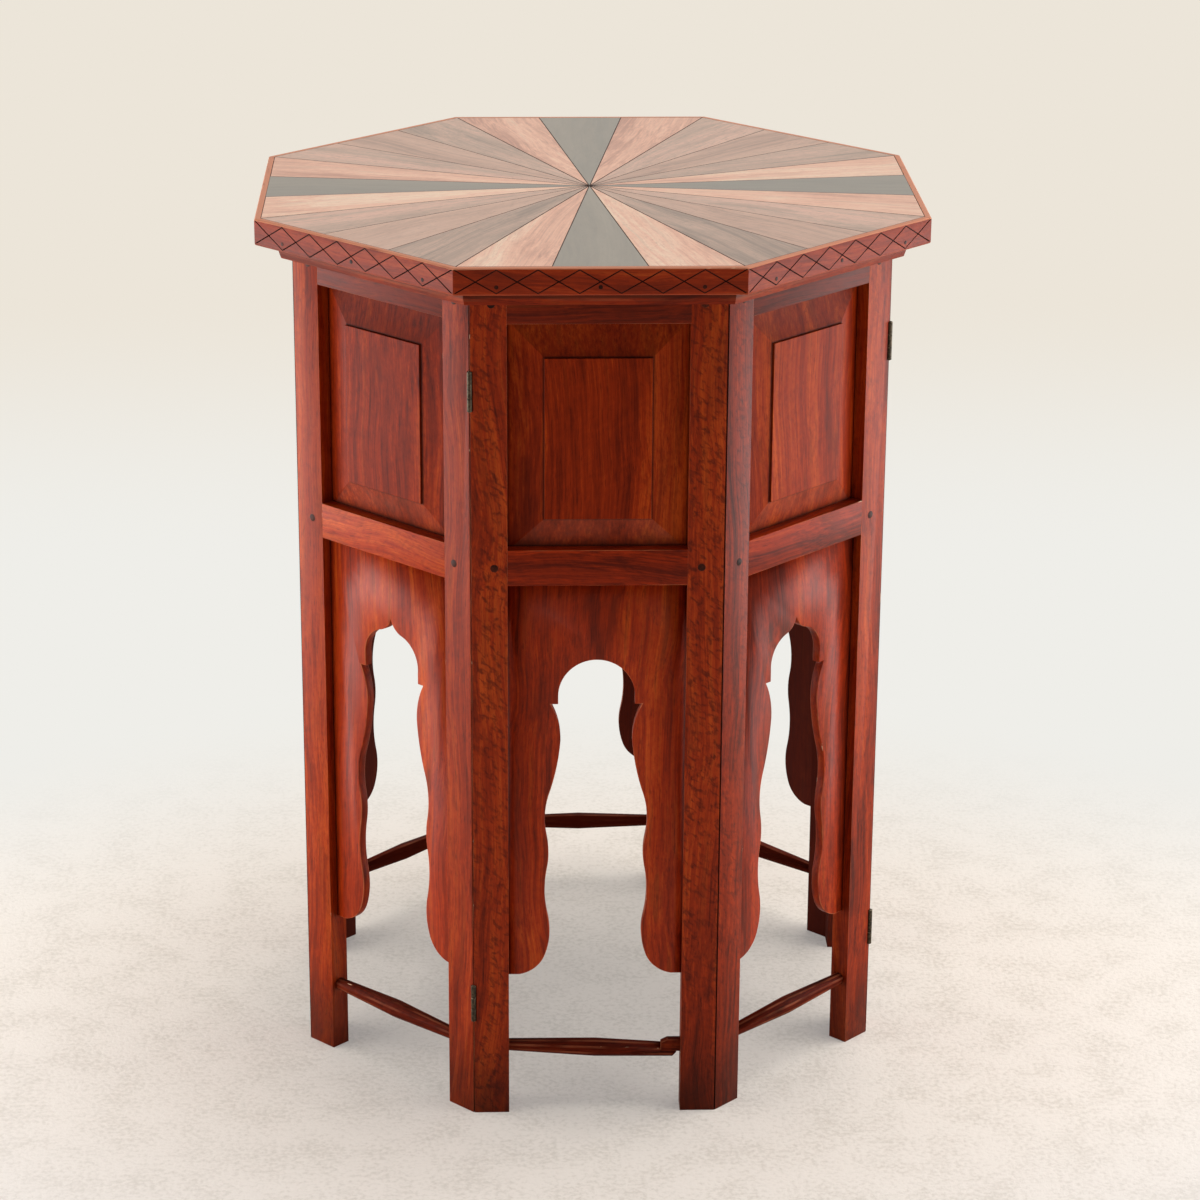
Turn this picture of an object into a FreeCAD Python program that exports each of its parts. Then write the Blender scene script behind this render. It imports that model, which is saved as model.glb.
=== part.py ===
import FreeCAD, Part
import math
import os
import re
import Sketcher

# Folding octagonal side table: a lift-off top over a ring of eight hinged, framed panels.
# Millimetres, +Z up, origin on the floor under the middle of the table, front towards -Y.
# Each panel is modelled once at the front, facing -Y, and turned about Z to its place.

doc = FreeCAD.newDocument("OctagonalTable")
sheet = doc.addObject("Spreadsheet::Sheet", "Sizes")

SIZES = {
    # the whole table
    "sides": 8,
    "frame_height": 564,
    "apothem": 192,
    "frame_thickness": 14,
    "joint_gap": 0.15,
    "overrun": 20,
    # stiles, the half legs of a panel
    "stile_width": 23.1,
    "groove_recess": 9,
    "groove_width": 3,
    "groove_depth": 5,
    "groove_play": 0.5,
    # rails and their tenons
    "top_rail_width": 25.2,
    "mid_rail_width": 23.4,
    "mid_rail_low": 369.2,
    "tenon_recess": 3.5,
    "tenon_thickness": 5,
    "tenon_length": 13.5,
    "tenon_shoulder": 3.5,
    # raised and fielded panel
    "field_half_width": 33.4,
    "field_low_margin": 19.8,
    "field_high_margin": 22.4,
    "field_recess": 2,
    "field_step": 1.5,
    # arched board
    "board_recess": 6,
    "board_low": 97.6,
    "arch_half_width": 33,
    "arch_spring": 189.4,
    "arch_throat": 24.4,
    "arch_stilt": 5.6,
    "arch_peak": 38,
    # stretcher rods and their square tenons
    "rod_height": 46.5,
    "rod_end_half": 3.9,
    "rod_mid_half": 5.75,
    "rod_tenon": 5,
    "rod_tenon_length": 8,
    # mended front stretcher: a drooping rod lapped behind a short stub
    "rod_droop": 5,
    "rod_short": 2.4,
    "thumb_half": 4.4,
    "thumb_tip_half": 1.9,
    "thumb_length": 2.6,
    "stub_length": 13.1,
    "stub_half": 4.3,
    "stub_recess": 2.6,
    "stub_thickness": 5.4,
    "stub_corner": 2.2,
    # butt hinges
    "hinge_length": 25.4,
    "hinge_leaf": 11,
    "leaf_thickness": 0.9,
    "leaf_gap": 0.1,
    "knuckle_radius": 1.6,
    "knuckle_clearance": 0.3,
    "knuckle_gap": 0.15,
    "knuckle_sides": 8,
    "pin_radius": 0.8,
    "pin_fit": 0.04,
    "low_hinge": 80,
    "high_hinge": 496,
    # the top
    "overhang": 23,
    "top_thickness": 16,
    "face_thickness": 6,
    "middle_half_width": 29,
    "lipping_thickness": 4,
    "lipping_drop": 1.3,
    "lipping_round": 1.2,
    "lipping_bevel": 1.5,
    # skirt moulding under the edge
    "skirt_depth": 11.2,
    "skirt_square": 5,
    "skirt_projection": 9,
    "skirt_round": 14,
    "skirt_fit": 1.5,
    "skirt_lead": 6,
    "skirt_foot": 0.8,
}

for row, (alias, number) in enumerate(SIZES.items(), start=1):
    sheet.set(f"A{row}", alias.replace("_", " "))
    sheet.set(f"B{row}", str(number))
    sheet.setAlias(f"B{row}", alias)
doc.recompute()

size = {alias: float(sheet.get(alias)) for alias in SIZES}
words = re.compile(r"\b(" + "|".join(SIZES) + r")\b")


def formula(text):
    """A size worked out from the sheet, with the sheet's name put before each of its words"""
    return words.sub(r"Sizes.\1", text)


def tie(piece, **sizes):
    """Bind properties of a piece to formulas; a double underscore stands for a dot"""
    for name, text in sizes.items():
        piece.setExpression(name.replace("__", "."), formula(text))
    return piece


def block(name, low, high):
    """A rectangular block between two opposite corners, each corner three formulas"""
    piece = doc.addObject("Part::Box", name)
    for prop, axis, start, end in zip(("Length", "Width", "Height"), "xyz", low, high):
        tie(piece, **{"Placement__Base__" + axis: start, prop: f"({end}) - ({start})"})
    return piece


def upright(name, radius, low, high):
    """A cylinder on the Z axis between two heights"""
    piece = doc.addObject("Part::Cylinder", name)
    return tie(piece, Radius=radius, Placement__Base__z=low, Height=f"({high}) - ({low})")


def join(name, pieces):
    """One solid from overlapping pieces"""
    piece = doc.addObject("Part::MultiFuse", name)
    piece.Shapes = pieces
    piece.Refine = True
    return piece


def group(name, pieces, turn="0", axis=(0, 0, 1), **place):
    """Several solids kept apart in one object, turned about the table's axis or another"""
    piece = doc.addObject("Part::Compound", name)
    piece.Links = pieces
    piece.Placement.Rotation = FreeCAD.Rotation(FreeCAD.Vector(*axis), 1)
    return tie(piece, Placement__Rotation__Angle=turn, **place)


def less(name, whole, tools):
    """A piece with tools cut out of it"""
    piece = doc.addObject("Part::Cut", name)
    piece.Base = whole
    piece.Tool = tools[0] if len(tools) == 1 else group(name + "_cutters", tools)
    return piece


def mirrored(name, source):
    """The piece's mirror image across the panel's centre line"""
    piece = doc.addObject("Part::Mirroring", name)
    piece.Source = source
    piece.Normal = (1, 0, 0)
    return piece


def outline(body, name, plane, corners):
    """A closed polygon sketch on an origin plane, each corner placed by two formulas"""
    sketch = body.newObject("Sketcher::SketchObject", name)
    planes = {feature.Role: feature for feature in body.Origin.OriginFeatures}
    sketch.AttachmentSupport = [(planes[plane], "")]
    sketch.MapMode = "FlatFace"
    count = len(corners)
    ring = [FreeCAD.Vector(math.cos(2 * math.pi * k / count), math.sin(2 * math.pi * k / count)) for k in range(count)]
    for k in range(count):
        sketch.addGeometry(Part.LineSegment(ring[k], ring[(k + 1) % count]), False)
    for k in range(count):
        sketch.addConstraint(Sketcher.Constraint("Coincident", k, 2, (k + 1) % count, 1))
    for k, corner in enumerate(corners):
        for kind, text in zip(("DistanceX", "DistanceY"), corner):
            index = sketch.addConstraint(Sketcher.Constraint(kind, -1, 1, k, 1, size["overrun"]))
            sketch.setExpression(f"Constraints[{index}]", formula(text))
    return sketch


def padded(name, plane, corners, length, both_ways=False, start=None):
    """A body padded from a polygon sketch"""
    body = doc.addObject("PartDesign::Body", name)
    sketch = outline(body, name + "_sketch", plane, corners)
    if start:
        tie(sketch, AttachmentOffset__Base__z=start)
    pad = body.newObject("PartDesign::Pad", name + "_pad")
    pad.Profile = sketch
    pad.Midplane = both_ways
    tie(pad, Length=length)
    doc.recompute()
    return body


def rounded(body, name, point, radius):
    """A fillet on the edge of a body that passes nearest to a point"""
    spot = Part.Vertex(point)
    edges = body.Shape.Edges
    nearest = min(range(len(edges)), key=lambda k: edges[k].distToShape(spot)[0])
    whole = body.Tip
    fillet = body.newObject("PartDesign::Fillet", name)
    fillet.Base = (whole, [f"Edge{nearest + 1}"])
    return tie(fillet, Radius=radius)


# Formulas that several pieces share
PART_TURN = "(360 / sides)"
TAN = "tan(180 deg / sides)"
COS = "cos(180 deg / sides)"
FACE = "(-apothem)"
BACK = "(frame_thickness - apothem)"
HALF_SIDE = f"(apothem * {TAN})"
STILE_EDGE = f"(apothem * {TAN} - stile_width)"
OUTER_CORNER = f"(apothem / {COS})"
INNER_CORNER = f"((apothem - frame_thickness) / {COS})"
TOP_RAIL_LOW = "(frame_height - top_rail_width)"
MID_RAIL_HIGH = "(mid_rail_low + mid_rail_width)"


def recess(depth):
    """The place across the panel that lies this far behind its front face"""
    return f"({depth} - apothem)"


# Groove for the tongues of the panel and the board, all round the two openings
GROOVE = (recess("groove_recess"), recess("groove_recess + groove_width"))
TENON = (recess("tenon_recess"), recess("tenon_recess + tenon_thickness"))

# Hinges: two leaves on one pin. The pin runs along Z through the bored middle knuckle of the
# single leaf and is peened fast in the two end knuckles of the double leaf.
THIRD = "(hinge_length / 3)"
ROOM = "(knuckle_radius + knuckle_clearance)"


def flatted(name, radius, low, high):
    """A knuckle or the pin, small round pieces on the hinge's axis that are drawn with flats"""
    piece = doc.addObject("Part::Prism", name)
    piece.Polygon = int(size["knuckle_sides"])
    return tie(piece, Circumradius=radius, Placement__Base__z=low, Height=f"({high}) - ({low})")


def leaf(name, side, knuckles, gaps):
    """One leaf let in flush, its long edge rolled into knuckles"""
    faces = {-1: ("-leaf_gap - leaf_thickness", "-leaf_gap"), 1: ("leaf_gap", "leaf_gap + leaf_thickness")}[side]
    plate = block(name + "_plate", ("-hinge_leaf", faces[0], "0"), ("0", faces[1], "hinge_length"))
    slots = [block(f"{name}_slot_{k}", ("-" + ROOM, "-" + ROOM, low), (ROOM, ROOM, high))
             for k, (low, high) in enumerate(gaps)]
    rolls = [flatted(f"{name}_knuckle_{k}", "knuckle_radius", low, high) for k, (low, high) in enumerate(knuckles)]
    return join(name + "_solid", [less(name + "_slotted", plate, slots)] + rolls)


single_leaf = less("single_leaf", leaf(
    "bored_leaf", 1,
    [(f"{THIRD} + knuckle_gap", f"2 * {THIRD} - knuckle_gap")],
    [("-overrun", f"{THIRD} + knuckle_gap"), (f"2 * {THIRD} - knuckle_gap", "hinge_length + overrun")],
), [upright("pin_bore", "pin_radius + pin_fit", "-overrun", "hinge_length + overrun")])
double_leaf = join("double_leaf", [
    leaf("pinned_leaf", -1, [("0", THIRD), (f"2 * {THIRD}", "hinge_length")], [(THIRD, f"2 * {THIRD}")]),
    flatted("hinge_pin", "pin_radius", "0", "hinge_length"),
])

# Seat of one leaf in the mitred edge of a stile, and the notch round its knuckles
seat_plate = block(
    "seat_plate",
    ("-hinge_leaf", "-leaf_gap - leaf_thickness", "0"),
    ("0", "overrun", "hinge_length"),
)
seat_notch = block(
    "seat_notch",
    ("-" + ROOM, "-" + ROOM, "-knuckle_gap"),
    (ROOM, "overrun", "hinge_length + knuckle_gap"),
)
seat = group("hinge_seat", [seat_plate, seat_notch])
seat_mirror = doc.addObject("Part::Mirroring", "hinge_seat_mirror")
seat_mirror.Source = seat
seat_mirror.Normal = (0, 1, 0)


def hung(name, pieces, radius, outside, corner_turn):
    """Pieces of a hinge at the low and the high place of a corner, on its outer or inner edge"""
    flip = "0" if outside else "180"
    pairs = []
    for place in ("low_hinge", "high_hinge"):
        turned = group(f"{name}_{place}", pieces, flip)
        tie(turned, Placement__Base__x=radius, Placement__Base__z=f"{place} - hinge_length / 2")
        pairs.append(turned)
    return group(name, pairs, corner_turn)


RIGHT_CORNER = "(-90 + 180 / sides)"
LEFT_CORNER = "(-90 - 180 / sides)"

# Stiles: a mitred strip from floor to top, grooved for panel and board, mortised for the
# rails and the stretcher, with two hinge seats on its outer or its inner corner
GAP_X = f"(joint_gap / {COS})"
stile_blank = padded(
    "stile_blank", "XY_Plane",
    [
        (STILE_EDGE, FACE),
        (f"{HALF_SIDE} - {GAP_X}", FACE),
        (f"(apothem - frame_thickness) * {TAN} - {GAP_X}", BACK),
        (STILE_EDGE, BACK),
    ],
    "frame_height",
)
stile_cutters = [
    block("stile_groove", (STILE_EDGE, GROOVE[0], "board_low"),
          (f"{STILE_EDGE} + groove_depth", GROOVE[1], f"{TOP_RAIL_LOW} + groove_depth")),
    block("top_mortise", (STILE_EDGE, TENON[0], f"{TOP_RAIL_LOW} + tenon_shoulder"),
          (f"{STILE_EDGE} + tenon_length", TENON[1], "frame_height - tenon_shoulder")),
    block("mid_mortise", (STILE_EDGE, TENON[0], "mid_rail_low + tenon_shoulder"),
          (f"{STILE_EDGE} + tenon_length", TENON[1], f"{MID_RAIL_HIGH} - tenon_shoulder")),
    block("rod_mortise",
          (STILE_EDGE, recess("(frame_thickness - rod_tenon) / 2"), "rod_height - rod_tenon / 2"),
          (f"{STILE_EDGE} + rod_tenon_length", recess("(frame_thickness + rod_tenon) / 2"),
           "rod_height + rod_tenon / 2")),
]
stiles = {}
for where, outside, radius in (("outside", True, OUTER_CORNER), ("inside", False, INNER_CORNER)):
    shape = seat if outside else seat_mirror
    seats = hung(f"{where}_seats", [shape], radius, outside, RIGHT_CORNER)
    stiles[where] = less(f"{where}_stile", stile_blank, stile_cutters + [seats])
    stiles[where + " left"] = mirrored(f"{where}_stile_left", stiles[where])


# Rails: flush with the stiles on both faces, tenoned into them, grooved beside the openings
def rail(name, low, high, grooves):
    reach = f"({STILE_EDGE} + tenon_length)"
    solid = join(name + "_solid", [
        block(name + "_bar", (f"-{STILE_EDGE}", FACE, low), (STILE_EDGE, BACK, high)),
        block(name + "_tenons", (f"-{reach}", TENON[0], f"{low} + tenon_shoulder"),
              (reach, TENON[1], f"{high} - tenon_shoulder")),
    ])
    cutters = [block(f"{name}_groove_{k}", (f"-{STILE_EDGE}", GROOVE[0], start), (STILE_EDGE, GROOVE[1], end))
               for k, (start, end) in enumerate(grooves)]
    return less(name, solid, cutters)


top_rail = rail("top_rail", TOP_RAIL_LOW, "frame_height", [(TOP_RAIL_LOW, f"{TOP_RAIL_LOW} + groove_depth")])
mid_rail = rail("mid_rail", "mid_rail_low", MID_RAIL_HIGH, [
    ("mid_rail_low", "mid_rail_low + groove_depth"),
    (f"{MID_RAIL_HIGH} - groove_depth", MID_RAIL_HIGH),
])
rails = [top_rail, mid_rail]

# Raised and fielded panel: a thin tongue all round, wide mitred bevels, and a flat field
# that stands on a small square step
TONGUE_REACH = f"({STILE_EDGE} + groove_depth - groove_play)"
TONGUE_UP = "(groove_depth - groove_play)"
panel_tongue = block(
    "panel_tongue",
    (f"-{TONGUE_REACH}", GROOVE[0], f"{MID_RAIL_HIGH} - {TONGUE_UP}"),
    (TONGUE_REACH, GROOVE[1], f"{TOP_RAIL_LOW} + {TONGUE_UP}"),
)
panel_bevels = doc.addObject("Part::Wedge", "panel_bevels")
tie(panel_bevels,
    Ymin=recess("field_recess + field_step"), Ymax=GROOVE[0],
    Xmin="-field_half_width", Xmax="field_half_width",
    Zmin=f"{MID_RAIL_HIGH} + field_low_margin", Zmax=f"{TOP_RAIL_LOW} - field_high_margin",
    X2min=f"-{STILE_EDGE}", X2max=STILE_EDGE, Z2min=MID_RAIL_HIGH, Z2max=TOP_RAIL_LOW)
panel_field = block(
    "panel_field",
    ("-field_half_width", recess("field_recess"), f"{MID_RAIL_HIGH} + field_low_margin"),
    ("field_half_width", recess("field_recess + field_step"), f"{TOP_RAIL_LOW} - field_high_margin"),
)
raised_panel = join("raised_panel", [panel_tongue, panel_bevels, panel_field])

# Arched boards: the outline runs from the foot up to a pair of pointed ears, then over a
# round or a pointed head. Across is a share of the arch's half width, up is a share of the
# height from the board's foot to the spring of the head.
ARCH_SIDE_SHARES = [
    (1.497, 0.0), (1.18, 0.026), (0.985, 0.078), (0.906, 0.145), (0.945, 0.225), (1.0, 0.32), (0.96, 0.395),
    (0.924, 0.456), (0.965, 0.52), (0.997, 0.583), (0.93, 0.665), (0.775, 0.765), (0.694, 0.868), (0.742, 0.94),
    (0.879, 1.0),
]
# The pointed head's shoulder: across is a share of the throat, up is a share of the peak's rise
PEAK_HOLLOW_SHARES = [(0.0, 1.0), (0.12, 0.87), (0.38, 0.765)]
PEAK_SHOULDER_SHARES = [(0.38, 0.765), (0.82, 0.59), (1.0, 0.2)]
spring = size["board_low"] + size["arch_spring"]


def on_face(points):
    """Points across and up the panel as places on its front face"""
    return [FreeCAD.Vector(across, -size["apothem"], up) for across, up in points]


def arcs(points):
    """A run of arcs, each from one point over the next to the one after"""
    places = on_face(points)
    return [Part.Arc(*places[k:k + 3]).toShape() for k in range(0, len(places) - 2, 2)]


def straight(start, end):
    """A straight edge in the board's face"""
    return Part.makeLine(*on_face([start, end]))


def arch_opening(name, pointed):
    """The solid that cuts an arch through the board, its outline mirrored about the middle"""
    throat = size["arch_throat"]
    side = [(share * size["arch_half_width"], size["board_low"] + up * size["arch_spring"])
            for share, up in ARCH_SIDE_SHARES]
    below = size["board_low"] - size["overrun"]
    edges = [straight((0, below), (side[0][0], below)), straight((side[0][0], below), side[0])]
    edges += arcs(side)
    edges.append(straight(side[-1], (throat, spring)))
    if pointed:
        hollow = [(share * throat, spring + up * size["arch_peak"]) for share, up in PEAK_HOLLOW_SHARES]
        shoulder = [(share * throat, spring + up * size["arch_peak"]) for share, up in PEAK_SHOULDER_SHARES]
        edges.append(straight((throat, spring), shoulder[-1]))
        edges += arcs(shoulder) + arcs(hollow)
        crown = hollow[0]
    else:
        stilt = spring + size["arch_stilt"]
        crown = (0, stilt + throat)
        diagonal = throat * math.sqrt(0.5)
        edges.append(straight((throat, spring), (throat, stilt)))
        edges += arcs([(throat, stilt), (diagonal, stilt + diagonal), crown])
    edges.append(straight(crown, (0, below)))
    half = Part.Face(Part.Wire(Part.__sortEdges__(edges)))
    across = FreeCAD.Vector(0, size["frame_thickness"] + size["overrun"], 0)
    half = half.extrude(across)
    half.translate(FreeCAD.Vector(0, -size["overrun"] / 2, 0))
    whole = half.fuse(half.mirror(FreeCAD.Vector(), FreeCAD.Vector(1, 0, 0))).removeSplitter()
    piece = doc.addObject("Part::Feature", name)
    piece.Shape = whole
    return piece


board_blank = join("board_blank", [
    block("board_plate", (f"-{STILE_EDGE}", recess("board_recess"), "board_low"),
          (STILE_EDGE, GROOVE[1], "mid_rail_low")),
    block("board_tongue", (f"-{TONGUE_REACH}", GROOVE[0], "board_low"),
          (TONGUE_REACH, GROOVE[1], f"mid_rail_low + {TONGUE_UP}")),
])
boards = {
    "round": less("round_board", board_blank, [arch_opening("round_opening", False)]),
    "pointed": less("pointed_board", board_blank, [arch_opening("pointed_opening", True)]),
}


# Stretchers: eight-sided rods, thickest in the middle, with a square tenon at each end. They
# are drawn from the edge of the left-hand stile and then set in their place.
ROD_LENGTH = f"(2 * {STILE_EDGE})"
ROD_PLACE = {
    "Placement__Base__x": f"-{STILE_EDGE}",
    "Placement__Base__y": recess("frame_thickness / 2"),
    "Placement__Base__z": "rod_height",
}


def taper(name, start, end, start_half, end_half):
    """A tapered stretch of eight-sided rod: two square tapers, crossed at 45 degrees"""
    squares = []
    for roll in (0, 45):
        square = doc.addObject("Part::Wedge", f"{name}_{roll}")
        along = FreeCAD.Rotation(FreeCAD.Vector(0, 0, 1), -90)
        square.Placement.Rotation = FreeCAD.Rotation(FreeCAD.Vector(1, 0, 0), roll) * along
        tie(square, Ymin=start, Ymax=end,
            Xmin=f"-{start_half}", Xmax=start_half, Zmin=f"-{start_half}", Zmax=start_half,
            X2min=f"-{end_half}", X2max=end_half, Z2min=f"-{end_half}", Z2max=end_half)
        squares.append(square)
    piece = doc.addObject("Part::MultiCommon", name)
    piece.Shapes = squares
    return piece


def rod_tenon(name, start, end):
    """A square tenon in the middle of the frame's thickness"""
    return block(name,
                 (start, recess("(frame_thickness - rod_tenon) / 2"), "rod_height - rod_tenon / 2"),
                 (end, recess("(frame_thickness + rod_tenon) / 2"), "rod_height + rod_tenon / 2"))


rod_left = taper("rod_left", "0", STILE_EDGE, "rod_end_half", "rod_mid_half")
rod_right = taper("rod_right", STILE_EDGE, ROD_LENGTH, "rod_mid_half", "rod_end_half")
plain_rod = join("plain_rod", [rod_left, rod_right])
stretcher = join("plain_stretcher", [
    group("rod_in_place", [plain_rod], **ROD_PLACE),
    rod_tenon("rod_tenons", f"-{STILE_EDGE} - rod_tenon_length", f"{STILE_EDGE} + rod_tenon_length"),
])

# The front stretcher is mended: the long rod droops to the right and ends in a rounded
# thumb, lapped behind and under a short stub that stays in the right-hand stile
THUMB_START = f"({ROD_LENGTH} - rod_short - thumb_length)"
STUB_START = f"({STILE_EDGE} - stub_length)"
STUB_LOW = "(rod_height - stub_half)"
STUB_BACK = recess("stub_recess + stub_thickness")
long_rod = join("long_rod", [
    rod_left,
    taper("long_right", STILE_EDGE, THUMB_START, "rod_mid_half", "thumb_half"),
    taper("thumb", THUMB_START, f"{ROD_LENGTH} - rod_short", "thumb_half", "thumb_tip_half"),
])
drooping_rod = group("drooping_rod", [long_rod], f"atan(rod_droop / {ROD_LENGTH})", (0, 1, 0), **ROD_PLACE)
lapped_rod = join("lapped_rod", [
    less("trimmed_rod", drooping_rod, [
        block("left_stile_room", (f"-{STILE_EDGE} - overrun", FACE, "0"), (f"-{STILE_EDGE}", BACK, "mid_rail_low")),
        block("stub_room", (STUB_START, FACE, STUB_LOW), (f"{STILE_EDGE} + overrun", STUB_BACK, "mid_rail_low")),
    ]),
    rod_tenon("long_tenon", f"-{STILE_EDGE} - rod_tenon_length", f"rod_end_half - {STILE_EDGE}"),
])
stub_bar = padded(
    "stub_bar", "XZ_Plane",
    [
        (STUB_START, STUB_LOW),
        (STILE_EDGE, STUB_LOW),
        (STILE_EDGE, "rod_height + stub_half"),
        (f"{STUB_START} + 2 * stub_corner", "rod_height + stub_half"),
        (STUB_START, "rod_height + stub_half - stub_corner"),
    ],
    "stub_thickness",
    start=f"-{STUB_BACK}",
)
stub = join("stub", [
    stub_bar,
    block("stub_tenon",
          (f"{STILE_EDGE} - stub_corner", recess("(frame_thickness - rod_tenon) / 2"), "rod_height - rod_tenon / 2"),
          (f"{STILE_EDGE} + rod_tenon_length", STUB_BACK, "rod_height + rod_tenon / 2")),
])

# The eight panels, in order round the table. Hinges lie by turns on the inner and the
# outer edge of a corner, so that the ring folds up like a screen.
PANELS = ["front", "front_right", "right", "back_right", "back", "back_left", "left", "front_left"]
nodes = []
for place, panel in enumerate(PANELS):
    turn = f"{place} * {PART_TURN}"
    straight_on = place % 2 == 0
    right, left = ("inside", "outside") if straight_on else ("outside", "inside")
    nodes.append(group(panel + "_stiles", [stiles[right], stiles[left + " left"]], turn))
    nodes.append(group(panel + "_rails", rails, turn))
    nodes.append(group(panel + "_raised_panel", [raised_panel], turn))
    nodes.append(group(panel + "_arched_board", [boards["round" if straight_on else "pointed"]], turn))
    if panel == "front":
        nodes.append(group("front_stretcher", [lapped_rod], turn))
        nodes.append(group("front_stretcher_stub", [stub], turn))
    else:
        nodes.append(group(panel + "_stretcher", [stretcher], turn))
    held = [single_leaf if straight_on else double_leaf]
    radii = {"outside": OUTER_CORNER, "inside": INNER_CORNER}
    hinges = [
        hung(panel + "_right_leaves", held, radii[right], right == "outside", RIGHT_CORNER),
        hung(panel + "_left_leaves", held, radii[left], left == "outside", LEFT_CORNER),
    ]
    nodes.append(group(panel + "_hinges", hinges, turn))

# Top: a ground board, a face of wedges laid in four timbers, mitred lipping round the edge
FACE_LOW = "(frame_height + top_thickness - face_thickness)"
TOP_HALF = "(apothem + overhang)"
FACE_HALF = "(apothem + overhang - lipping_thickness)"
ground = padded(
    "ground_board", "XY_Plane",
    [(f"{FACE_HALF} / {COS} * cos((180 + 360 * {k}) / sides * 1 deg)",
      f"{FACE_HALF} / {COS} * sin((180 + 360 * {k}) / sides * 1 deg)") for k in range(int(size["sides"]))],
    "top_thickness - face_thickness",
    start="frame_height",
)
nodes.append(group("top_board", [ground]))


def wedge(name, left, right):
    """One segment of the face, from the centre to a stretch of the front edge"""
    return padded(name, "XY_Plane", [("0", "0"), (left, f"-{FACE_HALF}"), (right, f"-{FACE_HALF}")],
                  "face_thickness", start=FACE_LOW)


middle_wedge = wedge("middle_wedge", "-middle_half_width", "middle_half_width")
right_wedge = wedge("right_wedge", "middle_half_width", f"{FACE_HALF} * {TAN}")
left_wedge = mirrored("left_wedge", right_wedge)


def laid(name, pieces, first):
    """Face segments on every second side of the table, from the first side on"""
    turns = [f"{place} * {PART_TURN}" for place in range(first, len(PANELS), 2)]
    return group(name, [group(f"{name}_{k}", pieces, turn) for k, turn in enumerate(turns)])


nodes.append(laid("ebony_wedges", [middle_wedge], 0))
nodes.append(laid("pale_wedges", [left_wedge, right_wedge], 0))
nodes.append(laid("pink_wedges", [middle_wedge], 1))
nodes.append(laid("brown_wedges", [left_wedge, right_wedge], 1))

# Mitred strips round the edge, each cut from a profile by the sector of its side
sector = padded(
    "sector", "XY_Plane",
    [("0", "0"), (f"-2 * {TOP_HALF} * {TAN}", f"-2 * {TOP_HALF}"), (f"2 * {TOP_HALF} * {TAN}", f"-2 * {TOP_HALF}")],
    "frame_height + 2 * top_thickness",
)


def strip(name, profile, corner, radius):
    """One side of a mitred ring: a profile with one rounded corner, run along the side and mitred"""
    bar = padded(name + "_bar", "YZ_Plane", profile, f"2 * {TOP_HALF}", both_ways=True)
    drawn = bar.Group[0].Geometry[corner].StartPoint
    rounded(bar, name + "_round", FreeCAD.Vector(0, drawn.x, drawn.y), radius)
    piece = doc.addObject("Part::MultiCommon", name + "_strip")
    piece.Shapes = [bar, sector]
    return piece


def ring(name, piece):
    """The strip on every side of the table"""
    return group(name, [group(f"{name}_{k}", [piece], f"{k} * {PART_TURN}") for k in range(len(PANELS))])


TOP_HIGH = "(frame_height + top_thickness)"
LIPPING_LOW = "(frame_height - lipping_drop)"
lipping = strip(
    "lipping",
    [(f"-{TOP_HALF}", f"{LIPPING_LOW} + lipping_bevel"), (f"lipping_bevel - {TOP_HALF}", LIPPING_LOW),
     (f"-{FACE_HALF}", LIPPING_LOW), (f"-{FACE_HALF}", TOP_HIGH), (f"-{TOP_HALF}", TOP_HIGH)],
    4, "lipping_round",
)
nodes.append(ring("lipping", lipping))

# Skirt moulding: square above and rounded below to a narrow foot, its inner face drawn so that
# the top drops on easily and fits the base closely only at the very top
SKIRT_LOW = "(frame_height - skirt_depth)"
SKIRT_FACE = "(-apothem - skirt_projection)"
skirt = strip(
    "skirt",
    [(SKIRT_FACE, "frame_height - skirt_square"), ("-apothem - skirt_lead - skirt_foot", SKIRT_LOW),
     ("-apothem - skirt_lead", SKIRT_LOW), ("-apothem - skirt_fit", "frame_height"), (SKIRT_FACE, "frame_height")],
    0, "skirt_round",
)
nodes.append(ring("skirt_moulding", skirt))

doc.recompute()
for piece in doc.Objects:
    if any(state in ("Invalid", "Error") for state in piece.State):
        raise RuntimeError(f"{piece.Name} failed: {piece.State}")

os.makedirs("parts", exist_ok=True)
for node in nodes:
    shape = node.Shape
    if shape.isNull() or not shape.isValid() or not shape.Solids:
        raise RuntimeError(f"{node.Name} has no valid solid")
    shape.exportStep(f"parts/{node.Name}.step")
    print(node.Name, len(shape.Solids), round(shape.Volume))
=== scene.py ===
"""Octagonal side table: a lift-off top of laid wedges on a folding ring of eight framed panels"""

import math
import random

import bmesh
import bpy
from mathutils import Matrix, Vector


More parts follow.
